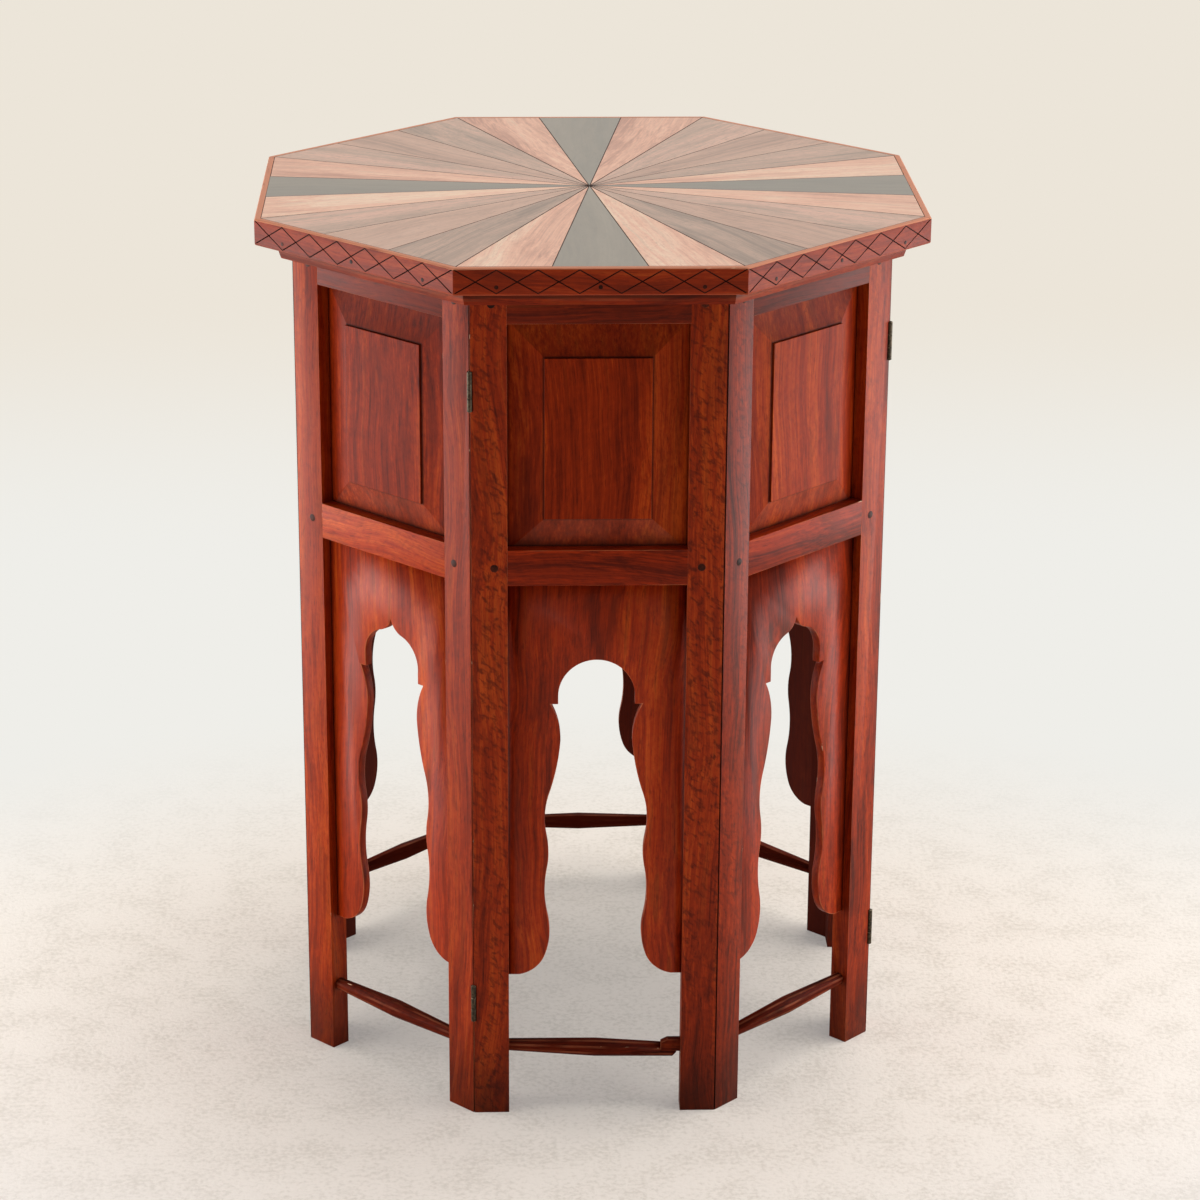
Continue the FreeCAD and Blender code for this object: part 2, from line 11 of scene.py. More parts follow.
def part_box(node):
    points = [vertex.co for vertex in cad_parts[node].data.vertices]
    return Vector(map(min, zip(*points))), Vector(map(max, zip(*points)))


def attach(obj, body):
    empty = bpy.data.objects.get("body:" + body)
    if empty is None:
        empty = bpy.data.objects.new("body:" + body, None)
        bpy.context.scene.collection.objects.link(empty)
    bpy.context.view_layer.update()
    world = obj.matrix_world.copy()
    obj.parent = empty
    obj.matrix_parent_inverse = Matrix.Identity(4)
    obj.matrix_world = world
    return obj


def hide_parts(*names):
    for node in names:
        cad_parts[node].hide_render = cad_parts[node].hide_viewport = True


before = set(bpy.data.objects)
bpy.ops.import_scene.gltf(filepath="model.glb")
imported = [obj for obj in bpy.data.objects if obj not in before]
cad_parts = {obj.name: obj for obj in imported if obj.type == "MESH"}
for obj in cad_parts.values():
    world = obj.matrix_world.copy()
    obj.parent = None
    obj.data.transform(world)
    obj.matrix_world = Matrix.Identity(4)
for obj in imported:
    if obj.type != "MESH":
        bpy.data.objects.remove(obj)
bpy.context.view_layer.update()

# Stiles. Two to a panel, mitred hardwood strips from the floor to the top, with lightly worn
# arrises. Each stick keeps its own stretch of grain, which runs up the leg.
PANELS = ("front", "front_right", "right", "back_right", "back", "back_left", "left", "front_left")
SIDES = len(PANELS)
MM = 0.001
MERGE = 0.002 * MM
RED_DARK = (76, 17, 4)
RED_BASE = (154, 44, 8)
RED_LIGHT = (196, 84, 24)
RED_WORN = (214, 128, 86)
# The dark of old polish in joints and cuts, also used for painted shade
GRIME_AND_SHADE_DARK = (34, 9, 4)
# A greyish light tone for the lower bevels: dust, with a painted sheen
DUST_AND_SHEEN = (142, 94, 80)
STILE_DARK = (58, 13, 5)
STILE_BASE = (140, 41, 9)
STILE_LIGHT = (182, 74, 22)
CHIP = (226, 186, 152)
# Painted shade for the faces that look into the table, where the ring shades them
INSIDE_PAINTED_SHADE = (64, 14, 4)
FOOT_GRIME = 75 * MM
FOOT_PATCHES = (90, 40)
WEAR_AND_SHEEN_MARK = 1.0
HALF_WORN = 0.6
UNMARKED = 0.0
SOILED = -0.7
CHIPPED = -0.9
ARRIS_LENGTH = 12 * MM
CORNER_ROUND = 0.4 * MM
ARRIS_ROUND = 0.45 * MM
SMALL_FACE = 60 * MM * MM
INWARD = -0.6
GRAIN_SEED = 20
GRAIN_REACH = 5
GRAIN_WANDER = (38 * MM, 38 * MM, 0.0)
MOTTLE_LEAN = (0.35, 0.7, 0.0)
# Pitches of the wood's figure, in waves per metre across and along the grain
BANDS = (38, 1.7)
STREAKS = (240, 3.5)
FIBRE = (620, 8)
MOTTLE = (380, 150)
PORES = (1300, 110)
RIPPLE = (110, 260)
SMOKE = (75, 11)
PATCHES = (140, 30)
CHIPS = (160, 60)
stile_low, stile_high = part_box("front_stiles")
draw = random.Random(GRAIN_SEED)


def ink(red, green, blue):
    """A colour read off a swatch, 0 to 255, as the linear colour that a socket takes"""
    shares = [channel / 255 for channel in (red, green, blue)]
    return tuple(s / 12.92 if s <= 0.04045 else ((s + 0.055) / 1.055) ** 2.4 for s in shares) + (1.0,)


class Link:
    """A node's output, with the operators that the finishes' sums use"""

    def __init__(self, finish, socket):
        self.finish = finish
        self.socket = socket

    def maths(self, operation, left, right):
        return self.finish.add("ShaderNodeMath", {"operation": operation}, {0: left, 1: right})

    def __add__(self, other):
        return self.maths("ADD", self, other)

    def __radd__(self, other):
        return self.maths("ADD", other, self)

    def __sub__(self, other):
        return self.maths("SUBTRACT", self, other)

    def __rsub__(self, other):
        return self.maths("SUBTRACT", other, self)

    def __mul__(self, other):
        return self.maths("MULTIPLY", self, other)

    def __rmul__(self, other):
        return self.maths("MULTIPLY", other, self)

    def __abs__(self):
        return self.finish.add("ShaderNodeMath", {"operation": "ABSOLUTE"}, {0: self})

    def least(self, other):
        return self.maths("MINIMUM", self, other)

    def most(self, other):
        return self.maths("MAXIMUM", self, other)


class Finish:
    """A material, or the world round the table, while its nodes are being added"""

    def __init__(self, owner):
        self.owner = owner
        self.owner.use_nodes = True
        self.tree = self.owner.node_tree
        self.tree.nodes.clear()

    def add(self, kind, settings=None, values=None, out=0):
        """A node of any type: its settings are set first, then the values or links of its sockets"""
        node = self.tree.nodes.new(kind)
        for key, setting in (settings or {}).items():
            setattr(node, key, setting)
        for key, value in (values or {}).items():
            if isinstance(value, Link):
                self.tree.links.new(value.socket, node.inputs[key])
            else:
                node.inputs[key].default_value = value
        return Link(self, node.outputs[out]) if node.outputs else None

    def stored(self, name, out="Vector"):
        """What a piece carries in an attribute of its own"""
        return self.add("ShaderNodeAttribute", {"attribute_name": name}, out=out)

    def noise(self, coords, across, along, detail=2.0, rough=0.5, bend=0.0):
        """Noise stretched along Z, its two pitches given in waves per metre"""
        stretched = self.add("ShaderNodeVectorMath", {"operation": "MULTIPLY"}, {
            0: coords, 1: (across, across, along)})
        return self.add("ShaderNodeTexNoise", {}, {
            "Vector": stretched, "Scale": 1.0, "Detail": detail, "Roughness": rough, "Distortion": bend})

    def ease(self, value, low, high):
        """A smooth step from 0 to 1 as the value goes from low to high"""
        return self.add("ShaderNodeMapRange", {"interpolation_type": "SMOOTHSTEP"}, {
            "Value": value, "From Min": low, "From Max": high})

    def mix(self, factor, first, second):
        """One colour turning into another"""
        return self.add("ShaderNodeMix", {"data_type": "RGBA"}, {0: factor, 6: first, 7: second}, out=2)

    def done(self, values):
        """The surface itself, with its sockets, and the finished material"""
        surface = self.add("ShaderNodeBsdfPrincipled", {}, values)
        self.add("ShaderNodeOutputMaterial", {}, {"Surface": surface})
        return self.owner


def parted(f):
    """The three coordinates of the place that a piece carries, apart"""
    return [f.add("ShaderNodeSeparateXYZ", {}, {0: f.stored("place")}, out=axis) for axis in range(3)]


def timber(name, dark, base, light, wear_and_sheen, streaks=0.5, flecks=0.45, roughness=0.4, sheen=0.09, coat=0.0,
           wear_and_sheen_amount=0.5, wear_and_sheen_threshold=0.36, grime_and_painted_shade=None, dust_and_sheen_mask=None):
    """Polished wood: wandering tone bands, dark streaks, curled figure and fine fibre along the grain"""
    f = Finish(bpy.data.materials.new(name))
    straight = f.stored("grain")
    tone = f.stored("tone", "Fac")
    figure = f.stored("figure", "Fac")
    wander = f.add("ShaderNodeTexNoise", {}, {"Vector": straight, "Scale": 5.0, "Detail": 2.0}, out=1)
    grain = f.add("ShaderNodeVectorMath", {"operation": "MULTIPLY_ADD"}, {
        0: wander, 1: GRAIN_WANDER, 2: straight})
    bands = f.noise(grain, *BANDS, detail=3, bend=0.5)
    streak = f.noise(grain, *STREAKS, detail=4, rough=0.6, bend=0.2)
    fibre = f.noise(grain, *FIBRE, detail=5, rough=0.72)
    leaning = f.add("ShaderNodeMapping", {}, {"Vector": straight, "Rotation": MOTTLE_LEAN})
    mottle = f.noise(leaning, *MOTTLE, detail=3, rough=0.55, bend=0.5)
    pores = f.ease(f.noise(grain, *PORES, detail=2, rough=0.6), 0.56, 0.68)
    ripple = f.noise(leaning, *RIPPLE, detail=3, bend=0.6)
    smoke = f.noise(grain, *SMOKE, detail=4, rough=0.62)
    depth = bands * 0.36 + streak * 0.28 + fibre * 0.3 + ripple * 0.06 + tone
    colour = f.mix(f.ease(depth, 0.36, 0.54), ink(*dark), ink(*base))
    colour = f.mix(f.ease(depth, 0.49, 0.66), colour, ink(*light))
    colour = f.mix(f.ease(streak, 0.54, 0.68) * streaks, colour, ink(*dark))
    colour = f.mix(f.ease(smoke, 0.52, 0.68) * streaks, colour, ink(*dark))
    curl = f.ease(mottle, 0.46, 0.68) * (f.ease(bands, 0.36, 0.56) * 0.75 + 0.25) * figure
    colour = f.mix(curl * 0.75, colour, ink(*dark))
    colour = f.mix(pores * flecks, colour, ink(*dark))
    patches = f.noise(grain, *PATCHES, detail=3)
    edge = f.stored("wear_and_sheen", "Fac")
    dirt = f.ease(edge, -0.2, -0.65)
    colour = f.mix(dirt * 0.95, colour, ink(*GRIME_AND_SHADE_DARK))
    # Worn arrises lighten in patches; on the lipping's top the same light colour is a painted sheen
    colour = f.mix(f.ease(edge, 0.2, 0.8) * f.ease(patches, wear_and_sheen_threshold, wear_and_sheen_threshold + 0.3) * wear_and_sheen_amount, colour, ink(*wear_and_sheen))
    chips = f.ease(f.noise(straight, *CHIPS, detail=4), 0.68, 0.71)
    colour = f.mix(f.ease(abs(edge), 0.8, 0.95) * chips, colour, ink(*CHIP))
    # Darkening by grime and painted shade, where a piece gives it
    if grime_and_painted_shade:
        colour = f.mix(grime_and_painted_shade(f), colour, ink(*GRIME_AND_SHADE_DARK))
    # Lightening by dust and painted sheen, where a piece gives it
    if dust_and_sheen_mask:
        colour = f.mix(dust_and_sheen_mask(f), colour, ink(*DUST_AND_SHEEN))
    # Faces that look into the table are darkened as painted shade for the inside of the ring, and made
    # rougher, as unpolished wood
    inside = f.stored("inside", "Fac")
    colour = f.mix(inside * 0.85, colour, ink(*INSIDE_PAINTED_SHADE))
    gloss = roughness + fibre * 0.1 + patches * 0.1 + dirt * 0.4 + inside * 0.4 - 0.1
    height = fibre * 0.5 + streak * 0.3 - pores * 0.35
    relief = f.add("ShaderNodeBump", {}, {"Strength": 0.25, "Distance": 0.0003, "Height": height})
    return f.done({
        "Base Color": colour, "Roughness": gloss, "Normal": relief, "Specular IOR Level": sheen,
        "Coat Weight": coat * (1 - dirt) if coat else 0.0, "Coat Roughness": 0.3})


def spun(turns):
    """The turn that takes a piece from the front side to another"""
    return Matrix.Rotation(2 * math.pi * turns / SIDES, 4, "Z")


def merged(node, place=0):
    """A copy of a construction piece with its triangles joined, turned back to the front side"""
    bm = bmesh.new()
    bm.from_mesh(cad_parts[node].data)
    bmesh.ops.remove_doubles(bm, verts=bm.verts, dist=MERGE)
    bmesh.ops.dissolve_limit(bm, angle_limit=math.radians(1), verts=bm.verts, edges=bm.edges)
    bmesh.ops.transform(bm, matrix=spun(-place), verts=bm.verts)
    return bm


def sharp(bm, least=0.0, angle=25):
    """The edges that stand out: at least this long, between faces that turn by more than the angle"""
    return [edge for edge in bm.edges if len(edge.link_faces) == 2
            and edge.calc_face_angle() > math.radians(angle) and edge.calc_length() > least]


def softened(bm, edges, radius, segments=2, clamp=True, mark=WEAR_AND_SHEEN_MARK):
    """Rounds edges and marks the new faces as worn (on the lipping's top, as painted sheen), soiled,
    chipped or unmarked
    """
    wear_and_sheen = bm.faces.layers.float.get("wear_and_sheen") or bm.faces.layers.float.new("wear_and_sheen")
    made = bmesh.ops.bevel(bm, geom=edges, offset=radius, offset_type="OFFSET", segments=segments,
                           profile=0.5, affect="EDGES", clamp_overlap=clamp, material=-1)
    for face in made["faces"]:
        face[wear_and_sheen] = mark


def sticks(bm):
    """The separate solids of a mesh, as lists of vertices"""
    left = set(bm.verts)
    found = []
    while left:
        reached = set()
        waiting = [left.pop()]
        while waiting:
            vertex = waiting.pop()
            reached.add(vertex)
            for edge in vertex.link_edges:
                other = edge.other_vert(vertex)
                if other in left:
                    left.discard(other)
                    waiting.append(other)
        found.append(sorted(reached, key=lambda vertex: vertex.index))
    return sorted(found, key=lambda stick: stick[0].index)


def grained(bm, along=(0, 0, 1), figure=(0.0, 0.5), tone=0.03):
    """Gives each solid its own stretch of grain, shade and amount of mottled figure"""
    bm.verts.index_update()
    layers = bm.verts.layers
    grain = layers.float_vector.new("grain")
    place = layers.float_vector.new("place")
    shade = layers.float.new("tone")
    curl = layers.float.new("figure")
    for stick in sticks(bm):
        start = Vector([draw.uniform(-GRAIN_REACH, GRAIN_REACH) for axis in range(3)])
        lean = draw.uniform(-tone, tone)
        curled = draw.uniform(*figure)
        direction = along(stick) if callable(along) else Vector(along)
        upright = direction.rotation_difference(Vector((0, 0, 1)))
        for vertex in stick:
            vertex[place] = vertex.co
            vertex[grain] = start + upright @ vertex.co
            vertex[shade] = lean
            vertex[curl] = curled


def shown(name, bm, body, material, place=0, stands_for=(), smooth=30):
    """The finished piece, turned to its side of the table and riding on its body

    Marked and small faces are shaded smooth, and faces that look inward are marked for painted shade and
    a rougher, unpolished finish.
    """
    bmesh.ops.transform(bm, matrix=spun(place), verts=bm.verts)
    wear_and_sheen = bm.faces.layers.float.get("wear_and_sheen") or bm.faces.layers.float.new("wear_and_sheen")
    inside = bm.faces.layers.float.new("inside")
    for face in bm.faces:
        face.smooth = face[wear_and_sheen] != 0 or face.calc_area() < SMALL_FACE
        middle = face.calc_center_median()
        face[inside] = face.normal.dot(Vector((middle.x, middle.y, 0)).normalized()) < INWARD
    mesh = bpy.data.meshes.new(name)
    bm.to_mesh(mesh)
    bm.free()
    mesh.set_sharp_from_angle(angle=math.radians(smooth))
    mesh.materials.append(material)
    piece = bpy.data.objects.new(name, mesh)
    bpy.context.scene.collection.objects.link(piece)
    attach(piece, body)
    if stands_for:
        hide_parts(*stands_for)
    return piece


def foot_soil(f):
    """Grime on the lowest stretch of the legs"""
    low = f.ease(parted(f)[2], FOOT_GRIME, 0.0)
    return low * (f.noise(f.stored("grain"), *FOOT_PATCHES, detail=4) * 0.8 + 0.2)


stile_wood = timber("stile_wood", STILE_DARK, STILE_BASE, STILE_LIGHT, RED_WORN, streaks=0.28, sheen=0.11,
                    grime_and_painted_shade=foot_soil)
for place, panel in enumerate(PANELS):
    stiles = merged(panel + "_stiles", place)
    corners = [edge for edge in sharp(stiles, least=ARRIS_LENGTH)
               if all(abs(abs(vertex.co.x) - stile_high.x) < MERGE for vertex in edge.verts)]
    softened(stiles, corners, CORNER_ROUND, mark=CHIPPED)
    softened(stiles, sharp(stiles, least=ARRIS_LENGTH, angle=60), ARRIS_ROUND)
    grained(stiles, figure=(0.85, 1.0) if panel == "front" else (0.1, 0.8))
    shown(panel + "_stile_pair", stiles, panel + "_panel", stile_wood, place,
          [panel + "_stiles"])

# Rails. A top rail, half hidden by the moulding, and a mid rail, both tenoned into the stiles
# and flush with them, so only a fine line shows at each shoulder.
rail_low, rail_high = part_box("front_rails")
TOP_WIDTH = 25.2 * MM
MID_WIDTH = 23.4 * MM
TOP_RAIL = rail_high.z - TOP_WIDTH / 2
MID_RAIL = rail_low.z + MID_WIDTH / 2
RAIL_ROUND = 0.3 * MM
SHOULDER_ROUND = 0.25 * MM
MOULDING_SHADE = 4 * MM


def rail_painted_shade(f):
    """Painted shade on the top rail, which lies under the overhang of the top, deepest close under the
    moulding
    """
    up = parted(f)[2]
    top_rail = f.ease(up, TOP_RAIL - TOP_WIDTH, TOP_RAIL - TOP_WIDTH * 0.6)
    under_moulding = f.ease(up, TOP_RAIL - MOULDING_SHADE, TOP_RAIL + MOULDING_SHADE)
    return top_rail * 0.5 + under_moulding * 0.2


def at_shoulder(edge):
    """Whether an edge is square to its rail, as at a shoulder"""
    return abs(edge.verts[0].co.x - edge.verts[1].co.x) < MERGE


rail_wood = timber("rail_wood", RED_DARK, RED_BASE, RED_LIGHT, RED_WORN, grime_and_painted_shade=rail_painted_shade)
for place, panel in enumerate(PANELS):
    rails = merged(panel + "_rails", place)
    arrises = [edge for edge in sharp(rails, least=ARRIS_LENGTH) if not at_shoulder(edge)]
    softened(rails, arrises, RAIL_ROUND)
    shoulders = [edge for edge in sharp(rails, least=ARRIS_LENGTH, angle=60) if at_shoulder(edge)]
    softened(rails, shoulders, SHOULDER_ROUND, mark=SOILED)
    grained(rails, along=(1, 0, 0), figure=(0.0, 0.3))
    shown(panel + "_rail_pair", rails, panel + "_panel", rail_wood, place,
          [panel + "_rails"])

# Pegs. Round trenails driven right through stile and tenon, four to a panel, of a darker
# wood that shows its end grain and stands a hair proud on both faces.
PEG_RADIUS = 2.6 * MM
PEG_PROUD = 0.15 * MM
PEG_INSET = 9.3 * MM
PEG_WANDER = 1 * MM
PEG_SIDES = 20
END_ROUND_SHARE = 0.12
TENON = 13.5 * MM
OPENING = rail_high.x - TENON
dark_wood = timber("peg_end_grain", dark=(26, 8, 4), base=(58, 20, 10), light=(86, 34, 18),
                   wear_and_sheen=(104, 50, 30), flecks=0.6)


def peg(bm, centre, radius, low, high):
    """A round peg with softly domed ends, between two depths along Y"""
    turn = Matrix.Rotation(math.pi / 2, 4, "X")
    middle = Vector((centre[0], (low + high) / 2, centre[1]))
    made = bmesh.ops.create_cone(bm, cap_ends=True, segments=PEG_SIDES, radius1=radius, radius2=radius,
                                 depth=high - low, matrix=Matrix.Translation(middle) @ turn)
    rims = [edge for edge in bm.edges if edge.verts[0] in made["verts"] and edge.verts[1] in made["verts"]
            and abs(edge.verts[0].co.y - edge.verts[1].co.y) < MERGE]
    softened(bm, rims, radius * END_ROUND_SHARE, clamp=False)


for place, panel in enumerate(PANELS):
    pegs = bmesh.new()
    for side in (-1, 1):
        for height in (MID_RAIL, TOP_RAIL):
            across = side * (OPENING + PEG_INSET) + draw.uniform(-1, 1) * PEG_WANDER
            peg(pegs, (across, height), PEG_RADIUS, stile_low.y - PEG_PROUD, rail_high.y + PEG_PROUD)
    grained(pegs, along=(0, 1, 0))
    shown(panel + "_pegs", pegs, panel + "_panel", dark_wood, place)

# Raised panels. Solid boards fielded on the face: a flat field on a small square step, and
# wide bevels mitred at the corners that run down into the grooves of the frame.
PANEL_BASE = (138, 40, 8)
PANEL_LIGHT = (184, 76, 22)
FIELD_HALF = 33.4 * MM
FIELD_LOW = 412.4 * MM
FIELD_HIGH = 516.4 * MM
FIELD_EDGE = 10 * MM
FIELD_ROUND = 0.3 * MM
# Reaches and shares of the dirt and painted shade round the field and in the grooves
STEP_DIRT_AND_SHADE_START = (-0.2 * MM, 0.1 * MM)
STEP_DIRT_AND_SHADE_END = (1.8 * MM, 0.4 * MM)
GROOVE_SHADE_REACH = 2.6 * MM
BORDER_SHADE_SHARE = 0.85
MITRE_BLEND = 0.3 * MM
BEVEL_BLEND = 0.5 * MM
DUST_AND_SHEEN_PATCHES = (60, 60)
opening_low = rail_low.z + MID_WIDTH
opening_high = rail_high.z - TOP_WIDTH


def border_painted_shade(half, low, high, reach):
    """Painted shade along the border of a rectangle, where a piece runs into its frame, with the old
    polish gathered there
    """
    def grime_and_painted_shade(f):
        across, depth, up = parted(f)
        side = half - abs(across)
        end = (high - low) / 2 - abs(up - (high + low) / 2)
        return f.ease(side.least(end), reach, -reach / 4) * BORDER_SHADE_SHARE
    return grime_and_painted_shade


def beyond_field(f):
    """How far a place is outside the raised field, to its sides and to its ends, and its height"""
    across, depth, up = parted(f)
    side = abs(across) - FIELD_HALF
    end = abs(up - (FIELD_LOW + FIELD_HIGH) / 2) - (FIELD_HIGH - FIELD_LOW) / 2
    return side, end, up


def panel_dirt_and_painted_shade(f):
    """Painted shade in the grooves of the frame, dirt and painted shade round the foot of the field, and
    painted shade on the upper bevel under the overhang of the top
    """
    side, end, up = beyond_field(f)
    outside = side.most(end)
    foot = f.ease(outside, *STEP_DIRT_AND_SHADE_START) * f.ease(outside, *STEP_DIRT_AND_SHADE_END)
    rim = border_painted_shade(OPENING, opening_low, opening_high, GROOVE_SHADE_REACH)(f)
    on_end = f.ease(end - side, -MITRE_BLEND, MITRE_BLEND)
    upper = on_end * f.ease(up, FIELD_HIGH, FIELD_HIGH + BEVEL_BLEND)
    return (foot * 0.7).most(rim.most(upper * 0.3))


def panel_dust_and_sheen(f):
    """Dust and a painted sheen on the lower bevel, which slopes up to the light"""
    side, end, up = beyond_field(f)
    on_end = f.ease(end - side, -MITRE_BLEND, MITRE_BLEND)
    lower = on_end * f.ease(up, FIELD_LOW, FIELD_LOW - BEVEL_BLEND)
    return lower * (f.noise(f.stored("grain"), *DUST_AND_SHEEN_PATCHES, detail=4) * 0.3)


panel_wood = timber("panel_wood", RED_DARK, PANEL_BASE, PANEL_LIGHT, RED_WORN, streaks=0.45, sheen=0.055,
                    grime_and_painted_shade=panel_dirt_and_painted_shade, dust_and_sheen_mask=panel_dust_and_sheen)
for place, panel in enumerate(PANELS):
    field = merged(panel + "_raised_panel", place)
    softened(field, sharp(field, least=FIELD_EDGE, angle=60), FIELD_ROUND, mark=HALF_WORN)
    softened(field, sharp(field, least=FIELD_EDGE, angle=8), FIELD_ROUND, mark=UNMARKED)
    grained(field, figure=(0.0, 0.45))
    shown(panel + "_fielded_panel", field, panel + "_panel", panel_wood, place,
          [panel + "_raised_panel"])

# Arched boards. Thin boards set back in the grooves of the legs and sawn to a cusped arch,
# round headed on the straight sides and pointed on the corner ones, with softened edges.
BOARD_SHADE_REACH = 2.2 * MM
SAWN_ROUND = 0.5 * MM
FRAME_MARGIN = 1 * MM
SIDEWAYS = 0.1
FACING = 0.9
# Painted shade along the board's edges, where it runs into the legs and under the mid rail
board_painted_shade = border_painted_shade(OPENING, -rail_low.z, rail_low.z, BOARD_SHADE_REACH)
board_wood = timber("arched_board_wood", RED_DARK, RED_BASE, RED_LIGHT, RED_WORN, sheen=0.15,
                    grime_and_painted_shade=board_painted_shade)
for place, panel in enumerate(PANELS):
    board = merged(panel + "_arched_board", place)
    sawn = []
    for edge in sharp(board, angle=60):
        least_facing, most_facing = sorted(abs(face.normal.y) for face in edge.link_faces)
        middle = (edge.verts[0].co + edge.verts[1].co) / 2
        in_sight = abs(middle.x) < OPENING - FRAME_MARGIN and middle.z < rail_low.z - FRAME_MARGIN
        if in_sight and least_facing < SIDEWAYS and most_facing > FACING:
            sawn.append(edge)
    softened(board, sawn, SAWN_ROUND, clamp=False)
    grained(board, figure=(0.0, 0.45))
    shown(panel + "_arch", board, panel + "_panel", board_wood, place,
          [panel + "_arched_board"], smooth=50)

# Stretchers. Whittled eight-sided rods of darker wood, thickest in the middle, let into the
# legs. The front one is mended: the long rod droops and is lapped behind a short stub.
ROD_EDGE = 4 * MM
ROD_ROUND = 0.8 * MM
STUB_EDGE = 2 * MM
STUB_ROUND = 0.5 * MM
rod_wood = timber("rod_wood", dark=(32, 8, 3), base=(80, 20, 7), light=(116, 40, 16), wear_and_sheen=(150, 84, 58),
                  streaks=0.4, roughness=0.5, sheen=0.03)
for place, panel in enumerate(PANELS):
    rod = merged(panel + "_stretcher", place)
    arrises = [edge for edge in sharp(rod, least=ROD_EDGE) if edge.calc_face_angle() < math.radians(60)]
    softened(rod, arrises, ROD_ROUND, segments=3)
    grained(rod, along=(1, 0, 0), figure=(0.1, 0.5))
    shown(panel + "_rod", rod, panel + "_panel", rod_wood, place,
          [panel + "_stretcher"], smooth=40)
stub = merged("front_stretcher_stub")
softened(stub, sharp(stub, least=STUB_EDGE), STUB_ROUND)
grained(stub, along=(1, 0, 0), figure=(0.3, 0.5))
shown("front_rod_stub", stub, "front_panel", rod_wood, 0, ["front_stretcher_stub"])

# Butt hinges. Sixteen small hinges of dark bronze, two to a corner, let in flush between the
# mitred legs: by turns on the outer and the inner corner. One leaf has the middle knuckle,
# the other the two end knuckles and the riveted pin, and two screws hold each leaf.
HINGE = 25.4 * MM
LEAF = 11 * MM
LEAF_THICK = 0.9 * MM
LEAF_GAP = 0.1 * MM
KNUCKLE = 1.6 * MM
KNUCKLE_ROOM = 0.3 * MM
KNUCKLE_GAP = 0.15 * MM
PIN = 0.8 * MM
PIN_HEAD = 0.35 * MM
PIN_SIDES = 16
KNUCKLE_SIDES = 20
LEAF_ROUND = 0.12 * MM
LEAF_LAP = 0.2 * MM
KNUCKLE_BITE = 0.3 * MM
SCREW = 1.7 * MM
SCREW_TOP_SHARE = 0.92
SCREW_HEIGHT = 0.24 * MM
SCREW_SEAT = 0.02 * MM
SCREW_SIDES = 16
SCREW_ACROSS_SHARE = 0.6
SCREW_UP_SHARES = (0.22, 0.78)
SCREW_SLOT = 0.22 * MM
SLOT_DEPTH = 0.16 * MM
LOW_HINGE = 80 * MM
HIGH_HINGE = 496 * MM
BRONZE_DARK = (42, 37, 30)
BRONZE_BASE = (78, 68, 54)
BRONZE_RUBBED = (150, 138, 118)
BRONZE_CLOUD = (700, 700)


def bronze(name):
    """Old bronze: clouded dark and brown, rubbed to a dull yellow grey on the edges"""
    f = Finish(bpy.data.materials.new(name))
    coords = f.add("ShaderNodeTexCoord", out="Object")
    cloud = f.noise(coords, *BRONZE_CLOUD, detail=3)
    colour = f.mix(f.ease(cloud, 0.35, 0.65), ink(*BRONZE_DARK), ink(*BRONZE_BASE))
    rubbed = f.stored("wear_and_sheen", "Fac") * f.ease(cloud, 0.4, 0.6)
    colour = f.mix(rubbed * 0.7, colour, ink(*BRONZE_RUBBED))
    relief = f.add("ShaderNodeBump", {}, {"Strength": 0.3, "Distance": 0.0002, "Height": cloud})
    return f.done({
        "Base Color": colour, "Roughness": 0.36 + cloud * 0.2, "Metallic": 0.85, "Normal": relief})


def round_bar(bm, radius, low, high, segments=KNUCKLE_SIDES):
    """An upright round bar on the hinge's axis, its end edges softened"""
    made = bmesh.ops.create_cone(bm, cap_ends=True, segments=segments, radius1=radius, radius2=radius,
                                 depth=high - low, matrix=Matrix.Translation((0, 0, (low + high) / 2)))
    ends = {edge for vertex in made["verts"] for edge in vertex.link_edges
            if abs(edge.verts[0].co.z - edge.verts[1].co.z) < MERGE}
    softened(bm, list(ends), radius * END_ROUND_SHARE, clamp=False)


def plate(bm, corners_low, corners_high):
    """A flat rectangular stretch of a leaf between two opposite corners"""
    size = [high - low for low, high in zip(corners_low, corners_high)]
    middle = [(high + low) / 2 for low, high in zip(corners_low, corners_high)]
    stretch = Matrix.Diagonal((*size, 1))
    made = bmesh.ops.create_cube(bm, size=1, matrix=Matrix.Translation(middle) @ stretch)
    arrises = {edge for vertex in made["verts"] for edge in vertex.link_edges}
    softened(bm, list(arrises), LEAF_ROUND, clamp=False)


